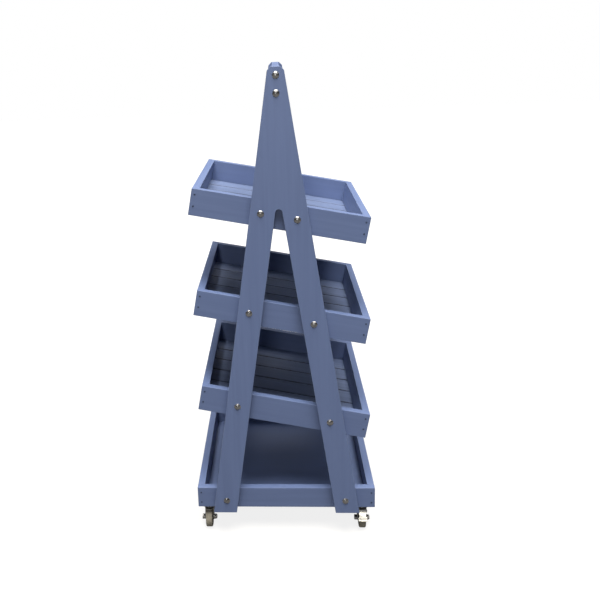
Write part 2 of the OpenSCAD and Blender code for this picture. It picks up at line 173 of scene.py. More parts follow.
def new_material(name):
    """An empty material, with its node tree and its surface shader."""
    material = bpy.data.materials.new(name)
    material.use_nodes = True
    tree = material.node_tree
    return material, tree, tree.nodes["Principled BSDF"]


def stretched_noise(tree, vector, scale, detail=3.0, rough=0.55):
    """Noise whose grains are squeezed by a different amount along each axis."""
    mapping = node(tree, "ShaderNodeMapping", {"Vector": vector, "Scale": scale})
    inputs = {"Vector": mapping.outputs["Vector"], "Scale": 1.0, "Detail": detail, "Roughness": rough}
    return node(tree, "ShaderNodeTexNoise", inputs).outputs["Fac"]


def remap(tree, value, low, high, to_low=0.0, to_high=1.0):
    """Maps low..high onto to_low..to_high and holds it there beyond."""
    inputs = {"Value": value, "From Min": low, "From Max": high, "To Min": to_low, "To Max": to_high}
    return node(tree, "ShaderNodeMapRange", inputs).outputs["Result"]


def blend_colour(tree, amount, first, second):
    """Mixes two colours by a value."""
    return node(tree, "ShaderNodeMix", {0: amount, 6: first, 7: second}, data_type="RGBA").outputs[2]


def multiply(tree, first, second):
    """The product of two values."""
    return node(tree, "ShaderNodeMath", {0: first, 1: second}, operation="MULTIPLY").outputs[0]


def add_bump(tree, shader, heights, distance):
    """Adds up (height, strength) pairs as bumps, one over the other."""
    normal = None
    for height, strength in heights:
        bump = node(tree, "ShaderNodeBump", {"Height": height, "Strength": strength, "Distance": distance})
        if normal is not None:
            tree.links.new(normal, bump.inputs["Normal"])
        normal = bump.outputs["Normal"]
    tree.links.new(normal, shader.inputs["Normal"])


def painted_wood(name, deep, pale, relief, edge, cover):
    """Satin slate-blue paint thin enough to show the grain. Its rounded edges take another tone in patches,
    least to most: on the boards a lighter tone that is partly rubbed paint and partly painted highlight, on
    the slats a near-black painted shade along the joints.
    """
    material, tree, shader = new_material(name)
    grain = node(tree, "ShaderNodeAttribute", attribute_name="grain").outputs["Vector"]
    rounded_edge = node(tree, "ShaderNodeAttribute", attribute_name="rounded_edge").outputs["Fac"]
    streaks = stretched_noise(tree, grain, (3.5, 120, 120), detail=5.0)
    rings = stretched_noise(tree, grain, (1.6, 38, 38), detail=2.0)
    pores = stretched_noise(tree, grain, (30, 900, 900), detail=2.0)
    patches = stretched_noise(tree, grain, (5, 9, 9), detail=3.0)
    scuffs = stretched_noise(tree, grain, (60, 160, 160), detail=4.0, rough=0.7)

    colour = blend_colour(tree, remap(tree, streaks, 0.32, 0.68), deep, pale)
    colour = blend_colour(tree, remap(tree, rings, 0.35, 0.65, 0.0, 0.35), colour, deep)
    colour = blend_colour(tree, remap(tree, patches, 0.3, 0.7, 0.0, 0.30), colour, pale)
    # The rounded edges take the edge colour in noisy patches: on the boards a lighter tone, partly rubbed
    # paint and partly painted highlight on the rims; on the slats a near-black painted shade along the joints.
    edge_mix = multiply(tree, rounded_edge, remap(tree, scuffs, 0.42, 0.66, *cover))
    colour = blend_colour(tree, edge_mix, colour, edge)
    tree.links.new(colour, shader.inputs["Base Color"])
    tree.links.new(remap(tree, streaks, 0.3, 0.7, 0.40, 0.56), shader.inputs["Roughness"])
    add_bump(tree, shader, [(streaks, relief), (pores, relief * 0.7), (scuffs, 0.04)], 0.4 * MM)
    return material


def metal(name, dark, light, roughness, shine=1.0):
    """Plated steel with cloudy tone, fine scratches and grime in patches."""
    material, tree, shader = new_material(name)
    place = node(tree, "ShaderNodeTexCoord").outputs["Object"]
    clouds = stretched_noise(tree, place, (140, 140, 140), detail=4.0)
    scratches = stretched_noise(tree, place, (900, 108, 108), detail=2.0)
    grime = stretched_noise(tree, place, (320, 320, 320), detail=5.0, rough=0.7)
    colour = blend_colour(tree, remap(tree, clouds, 0.3, 0.7), dark, light)
    stain = (dark[0] * 0.45, dark[1] * 0.43, dark[2] * 0.38, 1)
    colour = blend_colour(tree, remap(tree, grime, 0.60, 0.78, 0.0, 0.55), colour, stain)
    tree.links.new(colour, shader.inputs["Base Color"])
    shader.inputs["Metallic"].default_value = shine
    tree.links.new(remap(tree, clouds, 0.3, 0.7, roughness, roughness + 0.14), shader.inputs["Roughness"])
    add_bump(tree, shader, [(scratches, 0.10), (grime, 0.06)], 0.1 * MM)
    return material


def rubber():
    """Grey-beige rubber, dusty and scuffed round the tread."""
    material, tree, shader = new_material("grey_rubber")
    place = node(tree, "ShaderNodeTexCoord").outputs["Object"]
    dust = stretched_noise(tree, place, (160, 220, 220), detail=5.0, rough=0.7)
    pits = stretched_noise(tree, place, (1500, 1500, 1500), detail=2.0)
    colour = blend_colour(tree, remap(tree, dust, 0.3, 0.7), (0.16, 0.15, 0.125, 1), (0.34, 0.32, 0.27, 1))
    tree.links.new(colour, shader.inputs["Base Color"])
    tree.links.new(remap(tree, dust, 0.3, 0.7, 0.62, 0.85), shader.inputs["Roughness"])
    add_bump(tree, shader, [(pits, 0.25), (dust, 0.20)], 0.2 * MM)
    return material


def plastic():
    """Dark grey moulded plastic with a fine orange-peel skin."""
    material, tree, shader = new_material("grey_plastic")
    place = node(tree, "ShaderNodeTexCoord").outputs["Object"]
    peel = stretched_noise(tree, place, (1100, 1100, 1100), detail=1.0)
    tone = stretched_noise(tree, place, (110, 110, 110), detail=4.0)
    dark, light = (0.055, 0.055, 0.053, 1), (0.095, 0.094, 0.09, 1)
    colour = blend_colour(tree, remap(tree, tone, 0.3, 0.7), dark, light)
    tree.links.new(colour, shader.inputs["Base Color"])
    tree.links.new(remap(tree, tone, 0.3, 0.7, 0.42, 0.60), shader.inputs["Roughness"])
    add_bump(tree, shader, [(peel, 0.12)], 0.1 * MM)
    return material


def floor_material():
    """A plain floor: white to the camera but for a soft shadow by the wheels, and dull to all other light."""
    material, tree, shader = new_material("floor")
    place = node(tree, "ShaderNodeTexCoord").outputs["Object"]
    tone = stretched_noise(tree, place, (2, 2, 2), detail=2.0)
    away = node(tree, "ShaderNodeVectorMath", {0: place}, operation="LENGTH").outputs["Value"]
    seen = node(tree, "ShaderNodeLightPath").outputs["Is Camera Ray"]
    glow = multiply(tree, seen, remap(tree, away, 0.4, 1.6, 0.84, 1.0))
    tree.links.new(blend_colour(tree, tone, (0.14, 0.14, 0.14, 1), (0.16, 0.16, 0.16, 1)),
                   shader.inputs["Base Color"])
    shader.inputs["Roughness"].default_value = 1.0
    shader.inputs["Specular IOR Level"].default_value = 0.0
    shader.inputs["Emission Color"].default_value = (1, 1, 1, 1)
    tree.links.new(glow, shader.inputs["Emission Strength"])
    return material


# Lighter edge tone for the boards: partly rubbed paint, partly painted highlight that brightens the rims.
RUBBED_AND_HIGHLIT = (0.185, 0.235, 0.370, 1)
# Near-black painted shade on the rounded slat edges, so that the joints between the slats read dark.
SLAT_JOINT_SHADE = (0.016, 0.022, 0.042, 1)
PAINT = painted_wood("painted_wood", deep=(0.105, 0.150, 0.303, 1), pale=(0.121, 0.172, 0.341, 1),
                     relief=0.10, edge=RUBBED_AND_HIGHLIT, cover=(0, 0.55))
# The slats' rounded edges carry heavy painted shade along the joints.
SLAT_PAINT = painted_wood("painted_slats", deep=(0.074, 0.106, 0.206, 1), pale=(0.152, 0.204, 0.362, 1),
                          relief=0.30, edge=SLAT_JOINT_SHADE, cover=(0.5, 0.95))
BOLT_STEEL = metal("bolt_steel", dark=(0.27, 0.27, 0.28, 1), light=(0.42, 0.42, 0.43, 1), roughness=0.22)
ZINC = metal("zinc_steel", dark=(0.34, 0.34, 0.335, 1), light=(0.50, 0.50, 0.49, 1), roughness=0.28)
# A paler, less metallic copy of the zinc for the brake pedals: painted reflection, so that the pedal reads
# bright where plated metal would mirror the dark surroundings.
ZINC_PAINTED_REFLECTION = metal("zinc_painted_reflection", dark=(0.66, 0.66, 0.62, 1), light=(0.84, 0.84, 0.80, 1), roughness=0.34,
                    shine=0.45)
NAIL_STEEL = metal("nail_steel", dark=(0.070, 0.090, 0.150, 1), light=(0.105, 0.138, 0.225, 1),
                   roughness=0.5)
RUBBER = rubber()
PLASTIC = plastic()


# ---- Mesh kit ----


def new_mesh():
    """An empty mesh that carries each point's place in its own board, and which faces are rounded edges: the
    paint gives these rubbed paint with painted highlight on the boards, and painted shade on the slats.
    """
    bm = bmesh.new()
    bm.verts.layers.float_vector.new("grain")
    bm.faces.layers.float.new("rounded_edge")
    return bm


def soften(bm, faces, radius):
    """Rounds the sharp edges of the given faces and marks the rounding for the paint's edge tone: partly
    rubbed paint and partly painted highlight on the boards, painted shade on the slats.
    """
    edges = {edge for face in faces for edge in face.edges}
    sharp = [edge for edge in edges if edge.is_manifold and edge.calc_face_angle(0) > math.radians(25)]
    made = bmesh.ops.bevel(bm, geom=sharp, offset=radius, segments=2, profile=0.5, affect="EDGES",
                           clamp_overlap=True)
    rounded_edge = bm.faces.layers.float["rounded_edge"]
    for face in made["faces"]:
        face[rounded_edge] = 1.0


def add_since(bm, old_faces):
    """The faces added to bm since old_faces was taken, and their points."""
    faces = [face for face in bm.faces if face not in old_faces]
    return faces, {vert for face in faces for vert in face.verts}


def set_grain(bm, verts, axis):
    """Stores each point's own place with the grain along x, from a different stretch of wood each time."""
    layer = bm.verts.layers.float_vector["grain"]
    start = Vector((draws.uniform(0, 40), draws.uniform(0, 4), draws.uniform(0, 4)))
    for vert in verts:
        place = vert.co
        along = Vector((place[axis], place[(axis + 1) % 3], place[(axis + 2) % 3]))
        vert[layer] = along + start


def add_board(bm, size, matrix, axis, wave=BOARD_WAVE, radius=EDGE_R):
    """A board centred on the origin and then placed: edges rounded, faces very slightly uneven inwards."""
    old = set(bm.faces)
    cube = bmesh.ops.create_cube(bm, size=1)["verts"]
    bmesh.ops.scale(bm, vec=size, verts=cube)
    long_edges = {edge for vert in cube for edge in vert.link_edges}
    long_edges = [edge for edge in long_edges if abs((edge.verts[0].co - edge.verts[1].co)[axis]) > 1e-6]
    cuts = max(2, round(size[axis] / CUT_SPACING))
    bmesh.ops.subdivide_edges(bm, edges=long_edges, cuts=cuts, use_grid_fill=True)
    faces, verts = add_since(bm, old)
    seed = Vector((draws.uniform(0, 99), draws.uniform(0, 99), draws.uniform(0, 99)))
    for vert in verts:
        for side in range(3):
            if side != axis:
                dent = (noise.noise(vert.co * WAVES_PER_METRE + seed * (side + 1)) + 1) / 2 * wave
                vert.co[side] -= math.copysign(dent, vert.co[side])
    soften(bm, faces, radius)
    _, verts = add_since(bm, old)
    set_grain(bm, verts, axis)
    bmesh.ops.transform(bm, matrix=matrix, verts=list(verts))


def add_prism(bm, outline, thickness, matrix, radius):
    """A flat outline, as (x, y) pairs, given a thickness along z and rounded edges, then placed."""
    old = set(bm.faces)
    base = bm.faces.new([bm.verts.new((x, y, 0)) for x, y in outline])
    risen = bmesh.ops.extrude_face_region(bm, geom=[base])["geom"]
    lifted = [item for item in risen if isinstance(item, bmesh.types.BMVert)]
    bmesh.ops.translate(bm, vec=(0, 0, thickness), verts=lifted)
    faces, _ = add_since(bm, old)
    bmesh.ops.recalc_face_normals(bm, faces=faces)
    soften(bm, faces, radius)
    _, verts = add_since(bm, old)
    set_grain(bm, verts, 1)
    bmesh.ops.transform(bm, matrix=matrix, verts=list(verts))


def add_turned(bm, profile, matrix, segments=40):
    """A turned solid from (radius, z) pairs that start and end on the axis, or close on themselves."""
    old = set(bm.faces)
    rings = []
    for radius, z in profile:
        if radius < 1e-9:
            rings.append([bm.verts.new((0, 0, z))])
        else:
            turns = [2 * math.pi * i / segments for i in range(segments)]
            rings.append([bm.verts.new((radius * math.cos(a), radius * math.sin(a), z)) for a in turns])
    closed = len(rings[0]) > 1
    pairs = list(zip(rings, rings[1:])) + ([(rings[-1], rings[0])] if closed else [])
    for lower, upper in pairs:
        for i in range(segments):
            j = (i + 1) % segments
            corners = [lower[i % len(lower)], lower[j % len(lower)]]
            corners += [upper[j % len(upper)], upper[i % len(upper)]]
            bm.faces.new(list(dict.fromkeys(corners)))
    faces, verts = add_since(bm, old)
    bmesh.ops.recalc_face_normals(bm, faces=faces)
    bmesh.ops.transform(bm, matrix=matrix, verts=list(verts))


def facing(place, direction):
    """A matrix that puts the origin at place and turns +z to a direction."""
    turn = Vector((0, 0, 1)).rotation_difference(Vector(direction))
    return Matrix.Translation(place) @ turn.to_matrix().to_4x4()


def regular(count, radius):
    """The corners of a regular polygon."""
    return [(radius * math.cos(2 * math.pi * i / count), radius * math.sin(2 * math.pi * i / count))
            for i in range(count)]


def arc(centre, radius, start, end, steps):
    """Points along an arc, angles in degrees."""
    angles = [math.radians(start + (end - start) * i / steps) for i in range(steps + 1)]
    return [(centre[0] + radius * math.cos(a), centre[1] + radius * math.sin(a)) for a in angles]


def piece(name, bm, material, body, slot, *nodes):
    """Turns a mesh into a piece that rides on a body in place of CAD nodes."""
    mesh = bpy.data.meshes.new(name)
    bm.to_mesh(mesh)
    bm.free()
    mesh.materials.append(material)
    mesh.shade_smooth()
    mesh.set_sharp_from_angle(angle=math.radians(38))
    made = bpy.data.objects.new(name, mesh)
    bpy.context.scene.collection.objects.link(made)
    made.modifiers.new("even_shading", "WEIGHTED_NORMAL").keep_sharp = True
    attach(made, body)
    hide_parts(*nodes)


# ---- Frame and trays ----


def middle(name):
    """The middle of a CAD node's box."""
    low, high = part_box(name)
    return (low + high) / 2


def panel_outline(low, high):
    """An end panel's outline as (x, z): two legs, a tapering gap with a round top, and cut top corners."""
    foot = high.x
    bottom, top = low.z, high.z
    shoulder = top - (APEX_W - APEX_FLAT) / 2
    slope = (foot - APEX_W / 2) / (shoulder - bottom)
    lean = math.atan(slope)
    gap_foot = foot - LEG_W
    gap_top = bottom + (gap_foot - GAP_R / math.cos(lean)) / slope
    lean_degrees = math.degrees(lean)
    return [
        (-foot, bottom), (-gap_foot, bottom),
        *arc((0, gap_top), GAP_R, 180 - lean_degrees, lean_degrees, 14),
        (gap_foot, bottom), (foot, bottom), (APEX_W / 2, shoulder), (APEX_FLAT / 2, top),
        (-APEX_FLAT / 2, top), (-APEX_W / 2, shoulder),
    ]


def end_panels():
    """The two A-shaped ends, grain running up the legs."""
    for name in ("left_end_panel", "right_end_panel"):
        low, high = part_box(name)
        upright = Matrix.Translation((0, high.y, 0)) @ Matrix.Rotation(math.radians(90), 4, "X")
        bm = new_mesh()
        add_prism(bm, panel_outline(low, high), high.y - low.y, upright, EDGE_R)
        piece(f"{name}_painted", bm, PAINT, "frame", "painted_wood", name)


def upright_board(name, axis):
    """A board that stands square to the frame, filling its CAD node's box."""
    low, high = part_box(name)
    bm = new_mesh()
    add_board(bm, high - low, Matrix.Translation((low + high) / 2), axis)
    piece(f"{name}_painted", bm, PAINT, "frame", "painted_wood", name)


def tray_centre(level):
    """The point that a tilted tray's parts are measured from."""
    return Vector((0, 0, middle(f"{level}_tray_left_board").z))


def tilted(level):
    """The tilted axes of a tray."""
    return Matrix.Translation(tray_centre(level)) @ Matrix.Rotation(TRAY_TILT, 4, "Y")


def tilted_trays():
    """Each tilted tray: four boards and the slats of its floor."""
    half_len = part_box("top_tray_right_board")[1].y
    inner_len = 2 * (half_len - BOARD_T)
    side_size = (BOARD_T, inner_len, TRAY_H - FLOOR_T)
    end_size = (TRAY_W, BOARD_T, TRAY_H)
    pitch = inner_len / SLAT_COUNT
    slat_size = (TRAY_W - SLAT_SHORTER, pitch - SLAT_GAP, FLOOR_T)
    for level in LEVELS:
        for word, side in (("back", -1), ("front", 1)):
            place = tilted(level) @ Matrix.Translation((side * (TRAY_W - BOARD_T) / 2, 0, FLOOR_T / 2))
            name = f"{level}_tray_{word}_board"
            bm = new_mesh()
            add_board(bm, side_size, place, 1)
            piece(f"{name}_painted", bm, PAINT, "frame", "painted_wood", name)
        for word, side in (("left", -1), ("right", 1)):
            place = tilted(level) @ Matrix.Translation((0, side * (half_len - BOARD_T / 2), 0))
            name = f"{level}_tray_{word}_board"
            bm = new_mesh()
            add_board(bm, end_size, place, 0)
            piece(f"{name}_painted", bm, PAINT, "frame", "painted_wood", name)
        bm = new_mesh()
        for i in range(SLAT_COUNT):
            y = -inner_len / 2 + (i + 0.5) * pitch
            place = tilted(level) @ Matrix.Translation((0, y, (FLOOR_T - TRAY_H) / 2))
            add_board(bm, slat_size, place, 0, radius=SLAT_EDGE_R)
        piece(f"{level}_tray_slats_painted", bm, SLAT_PAINT, "frame", "painted_wood", f"{level}_tray_slats")


# ---- Fasteners ----


def dome_profile(radius, height, skirt=0.5 * MM):
    """Half section of a domed head that stands on z = 0, with a short upright rim."""
    steps = 9
    rise = height - skirt
    ball = (radius * radius + rise * rise) / (2 * rise)
    widest = math.asin(radius / ball)
    points = [(0, 0), (radius, 0)]
    for i in range(steps + 1):
        angle = widest * (1 - i / steps)
        points.append((ball * math.sin(angle), skirt + rise - ball + ball * math.cos(angle)))
    points[-1] = (0, height)
    return points


DOME = dome_profile(BOLT_HEAD_R, BOLT_HEAD_H)


def thread_profile(radius, length):
    """Half section of a threaded rod that stands on z = 0."""
    points = [(0, 0)]
    turns = round(length / THREAD_PITCH * 2)
    for i in range(turns + 1):
        depth = 0 if i % 2 == 0 else THREAD_DEPTH
        points.append((radius - depth, length * i / turns))
    return points + [(0, length)]


def ring_profile(inner, outer, height):
    """Section of a flat ring with its outer corners taken off."""
    rim = 0.3 * MM
    return [(inner, 0), (outer - rim, 0), (outer, rim), (outer, height - rim), (outer - rim, height),
            (inner, height)]


def bolt_spots():
    """Where the coach bolts go, as (x, z), found from the separate washers of the CAD frame."""
    spots = []
    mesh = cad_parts["bolt_washers"].data
    bm = bmesh.new()
    bm.from_mesh(mesh)
    bmesh.ops.remove_doubles(bm, verts=bm.verts, dist=1e-6)
    unseen = set(bm.verts)
    while unseen:
        group = {unseen.pop()}
        front = set(group)
        while front:
            front = {e.other_vert(v) for v in front for e in v.link_edges} - group
            group |= front
        unseen -= group
        xs = [v.co.x for v in group]
        zs = [v.co.z for v in group]
        if sum(v.co.y for v in group) < 0:
            spots.append(((min(xs) + max(xs)) / 2, (min(zs) + max(zs)) / 2))
    bm.free()
    return sorted(spots)


def bolts():
    """Domed bolts through the panels and tray ends, with a washer and a nut inside."""
    heads, washers, nuts = new_mesh(), new_mesh(), new_mesh()
    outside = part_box("right_end_panel")[1].y
    inside = outside - 2 * BOARD_T
    nut_at = inside - WASHER_T
    tail = thread_profile(BOLT_R, NUT_H + BOLT_TAIL)
    ring = ring_profile(BOLT_R + 0.3 * MM, WASHER_R, WASHER_T)
    spots = bolt_spots()
    for side in SIDES:
        inwards = (0, -side, 0)
        for x, z in spots:
            add_turned(heads, DOME, facing((x, side * outside, z), (0, side, 0)))
            add_turned(heads, tail, facing((x, side * nut_at, z), inwards), 24)
            add_turned(washers, ring, facing((x, side * inside, z), inwards))
            add_prism(nuts, regular(6, NUT_R), NUT_H, facing((x, side * nut_at, z), inwards), NUT_EDGE_R)
    piece("coach_bolts_steel", heads, BOLT_STEEL, "frame", "bolt_steel", "coach_bolts")
    piece("bolt_washers_zinc", washers, ZINC, "frame", "zinc_steel", "bolt_washers")
    piece("bolt_nuts_zinc", nuts, ZINC, "frame", "zinc_steel", "bolt_nuts")


def rail_fixings():
    """The two bolts at each end of the top rail, and the barrel nuts that show in its back face."""
    heads, barrels = new_mesh(), new_mesh()
    low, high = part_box("rail_barrel_nuts")
    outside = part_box("right_end_panel")[1].y
    face = [(0, 0), (BARREL_R, 0), (BARREL_R, 0.25 * MM), (BARREL_R - 0.4 * MM, 0.5 * MM),
            (1.8 * MM, 0.5 * MM), (1.5 * MM, 0.1 * MM), (0, 0.1 * MM)]
    for z in (low.z + BARREL_R, high.z - BARREL_R):
        for side in SIDES:
            add_turned(heads, DOME, facing((0, side * outside, z), (0, side, 0)))
            add_turned(barrels, face, facing((low.x, side * (high.y - BARREL_R), z), (-1, 0, 0)), 28)
    piece("rail_bolts_steel", heads, BOLT_STEEL, "frame", "bolt_steel", "rail_bolts")
    piece("rail_barrel_nuts_zinc", barrels, ZINC, "frame", "zinc_steel", "rail_barrel_nuts")


def nail_head(bm, radius, matrix):
    """A small head with a rounded rim and a punched middle, just proud of the paint."""
    root = -0.6 * MM
    profile = [(0, root), (radius, root), (radius, NAIL_PROUD * 0.4), (radius * 0.85, NAIL_PROUD),
               (radius * 0.4, NAIL_PROUD), (radius * 0.3, NAIL_PROUD * 0.4), (0, NAIL_PROUD * 0.3)]
    add_turned(bm, profile, matrix, 18)


def nails():
    """Nail heads in the end boards, and under the floors."""
    boards, floors = new_mesh(), new_mesh()
    half_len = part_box("top_tray_right_board")[1].y
    inner_len = 2 * (half_len - BOARD_T)
    pitch = inner_len / SLAT_COUNT
    rises = [FLOOR_T - TRAY_H / 2 + share * (TRAY_H - FLOOR_T) for share in NAIL_SHARES]
    for level in LEVELS:
        for side in SIDES:
            for x in SIDES:
                for rise in rises:
                    spot = Vector((x * (TRAY_W / 2 - NAIL_INSET), side * half_len, rise))
                    nail_head(boards, NAIL_HEAD_R, tilted(level) @ facing(spot, (0, side, 0)))
                for i in range(SLAT_COUNT):
                    y = -inner_len / 2 + (i + 0.5) * pitch + side * PIN_SPREAD
                    spot = Vector((x * (TRAY_W / 2 - PIN_INSET), y, -TRAY_H / 2))
                    nail_head(floors, PIN_HEAD_R, tilted(level) @ facing(spot, (0, 0, -1)))
    low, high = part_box("base_left_board")
    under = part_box("base_floor")[0].z
    for x in SIDES:
        for side in SIDES:
            for share in NAIL_SHARES:
                spot = (x * (high.x - NAIL_INSET), side * half_len, low.z + share * (high.z - low.z))
                nail_head(boards, NAIL_HEAD_R, facing(spot, (0, side, 0)))
            for y in BASE_PINS:
                nail_head(floors, PIN_HEAD_R, facing((x * (high.x - PIN_INSET), side * y, under), (0, 0, -1)))
    piece("board_nails_dark", boards, NAIL_STEEL, "frame", "nail_steel", "board_nails")
    piece("floor_nails_dark", floors, NAIL_STEEL, "frame", "nail_steel", "floor_nails")


# ---- Castors ----


def sideways(x):
    """Places an outline drawn as (y, z) upright in a castor, thickness along +x from x."""
    return Matrix.Translation((x, 0, 0)) @ Matrix.Rotation(math.radians(90), 4, "Z") @ Matrix.Rotation(
        math.radians(90), 4, "X")


def tangent(point, centre, radius, side):
    """Where a line from point touches a circle, in degrees round the circle."""
    dx, dy = point[0] - centre[0], point[1] - centre[1]
    return math.degrees(math.atan2(dy, dx) + side * math.acos(radius / math.hypot(dx, dy)))


def tyre_shoulder(side):
    """Points as (radius, x) round one shoulder of the tyre, from its left end to its right end."""
    centre = (side * (TYRE_W / 2 - TYRE_EDGE_R), WHEEL_R - TYRE_EDGE_R)
    start, end = (180, 90) if side < 0 else (90, 0)
    return [(radius, x) for x, radius in arc(centre, TYRE_EDGE_R, start, end, 7)]


class Castor:
    """One castor. Heights come from its CAD nodes; its own axes start on the floor under the swivel."""

    def __init__(self, name):
        self.name = name
        self.braked = name in BRAKED
        self.swivel = f"{name}_castor"
        self.wheel = f"{name}_wheel"
        centre = middle(f"{name}_castor_plate")
        self.at = Matrix.Translation((centre.x, centre.y, 0))
        low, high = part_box(f"{name}_castor_plate")
        self.race_z, self.plate_z, self.plate_w = low.z, high.z - PLATE_T, high.x - low.x
        self.crown_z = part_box(f"{name}_fork")[1].z - FORK_T
        self.axle = (-TRAIL, WHEEL_R)
        reach = WHEEL_R + PEDAL_GAP + PEDAL_T / 2
        self.pin = (-TRAIL - reach * math.cos(BRAKE_PIN_ANGLE), WHEEL_R + reach * math.sin(BRAKE_PIN_ANGLE))

    def lifted(self, z):
        """A matrix for something that stands on the swivel's axis at a height."""
        return self.at @ Matrix.Translation((0, 0, z))

    def along_axle(self, x, side=1):
        """A matrix for something turned about the axle line, starting at x."""
        return self.at @ facing((x, *self.axle), (side, 0, 0))

    def along_pin(self, x, side=1):
        """A matrix for something turned about the brake pin's line, starting at x."""
        return self.at @ facing((x, *self.pin), (side, 0, 0))

    def plate(self):
        """Square plate with round corners and the pressed ring that the fork turns under."""
        bm = new_mesh()
        inset = self.plate_w / 2 - PLATE_CORNER_R
        outline = []
        for start, (x, y) in zip((0, 90, 180, 270), ((1, 1), (-1, 1), (-1, -1), (1, -1))):
            outline += arc((x * inset, y * inset), PLATE_CORNER_R, start, start + 90, 6)
        add_prism(bm, outline, PLATE_T, self.lifted(self.plate_z), PRESSED_EDGE_R)
        depth = self.plate_z - self.race_z
        ring = [(0, 0), (RACE_R - 2.5 * MM, 0), (RACE_R - 0.8 * MM, 0.6 * MM), (RACE_R, 1.6 * MM),
                (RACE_R, depth * 0.7), (RACE_R - 0.4 * MM, depth), (0, depth)]
        add_turned(bm, ring, self.lifted(self.race_z), 48)
        piece(f"{self.name}_castor_plate_zinc", bm, ZINC, "frame", "zinc_steel", f"{self.name}_castor_plate")

    def fork(self):
        """A dished crown with two cheeks that narrow down to the axle, and brake ears or a hood."""
        bm = new_mesh()
        wall, rim, edge = CROWN_R - FORK_T, FORK_T - CROWN_RIM_H, 0.3 * MM
        crown = [(0, 0), (wall - 2 * edge, 0), (wall, -2 * edge), (wall, rim + edge), (wall + edge, rim),
                 (CROWN_R - edge, rim), (CROWN_R, rim + edge), (CROWN_R, FORK_T - 1.4 * MM),
                 (CROWN_R - 0.4 * MM, FORK_T - 0.5 * MM), (CROWN_R - 1.3 * MM, FORK_T), (0, FORK_T)]
        add_turned(bm, crown, self.lifted(self.crown_z), 56)
        top = self.crown_z + 0.5 * MM
        start = tangent((-FORK_HALF_LEN, self.crown_z), self.axle, FORK_BOSS_R, 1)
        end = tangent((FORK_HALF_LEN, self.crown_z), self.axle, FORK_BOSS_R, -1) + 360
        cheek = [(FORK_HALF_LEN, top), (-FORK_HALF_LEN, top)]
        if self.braked:
            cheek += arc(self.pin, BRAKE_EAR_R, 90, 270, 10)
            cheek.append((-FORK_HALF_LEN - BRAKE_EAR_FOOT, self.pin[1] - BRAKE_EAR_R))
        cheek += arc(self.axle, FORK_BOSS_R, start, end, 16)
        for x in (-FORK_W / 2, FORK_W / 2 - FORK_T):
            add_prism(bm, cheek, FORK_T, self.at @ sideways(x), CUT_EDGE_R)
        if not self.braked:
            bend = FORK_W / 2
            hood = [(bend, -HOOD_ROOT), (-bend, -HOOD_ROOT), *arc((0, bend - HOOD_END), bend, 180, 360, 20)]
            add_prism(bm, hood, FORK_T, self.lifted(self.crown_z - FORK_T), PRESSED_EDGE_R)
        piece(f"{self.name}_fork_zinc", bm, ZINC, self.swivel, "zinc_steel", f"{self.name}_fork")

    def axle_bolt(self):
        """Axle with a chamfered hex head on one side and a lock nut on the other."""
        bolt, nut = new_mesh(), new_mesh()
        half, body = FORK_W / 2, AXLE_NUT_H * 0.72
        add_prism(bolt, regular(6, AXLE_NUT_R), AXLE_NUT_H, self.along_axle(-half, -1), NUT_EDGE_R)
        rod = thread_profile(BOLT_R, FORK_W + AXLE_NUT_H + AXLE_TAIL)
        add_turned(bolt, rod, self.along_axle(-half), 24)
        piece(f"{self.name}_axle_steel", bolt, BOLT_STEEL, self.swivel, "bolt_steel", f"{self.name}_axle")
        add_prism(nut, regular(6, AXLE_NUT_R), body, self.along_axle(half), NUT_EDGE_R)
        collar = ring_profile(BOLT_R + 0.1 * MM, 5.6 * MM, AXLE_NUT_H - body)
        add_turned(nut, collar, self.along_axle(half + body), 28)
        piece(f"{self.name}_axle_nut_zinc", nut, ZINC, self.swivel, "zinc_steel", f"{self.name}_axle_nut")

    def rolling(self):
        """Rubber tyre on a ribbed hub."""
        tyre, hub = new_mesh(), new_mesh()
        section = [(TYRE_IN_R, -TYRE_W / 2), *tyre_shoulder(-1), *tyre_shoulder(1), (TYRE_IN_R, TYRE_W / 2)]
        add_turned(tyre, section, self.along_axle(0), 72)
        piece(f"{self.name}_tyre_rubber", tyre, RUBBER, self.wheel, "grey_rubber", f"{self.name}_tyre")
        wide, rim, web = HUB_W / 2, HUB_RIM_W / 2, HUB_WEB_T / 2
        right = [(TYRE_IN_R, rim), (HUB_RIM_IN_R + 0.5 * MM, rim), (HUB_RIM_IN_R, rim - 0.5 * MM),
                 (HUB_RIM_IN_R - 0.3 * MM, web), (HUB_R + 0.3 * MM, web), (HUB_R, wide - 0.6 * MM),
                 (HUB_R - 0.6 * MM, wide), (BOLT_R + RUN_GAP, wide)]
        left = [(radius, -x) for radius, x in reversed(right)]
        add_turned(hub, left + right, self.along_axle(0), 56)
        for i in range(RIB_COUNT):
            turn = Matrix.Rotation(2 * math.pi * i / RIB_COUNT, 4, "Z")
            rib = self.along_axle(0) @ turn @ Matrix.Translation((RIB_MID_R, 0, 0))
            add_board(hub, RIB_SIZE, rib, 0, 0, RIB_EDGE_R)
        piece(f"{self.name}_hub_plastic", hub, PLASTIC, self.wheel, "grey_plastic", f"{self.name}_hub")

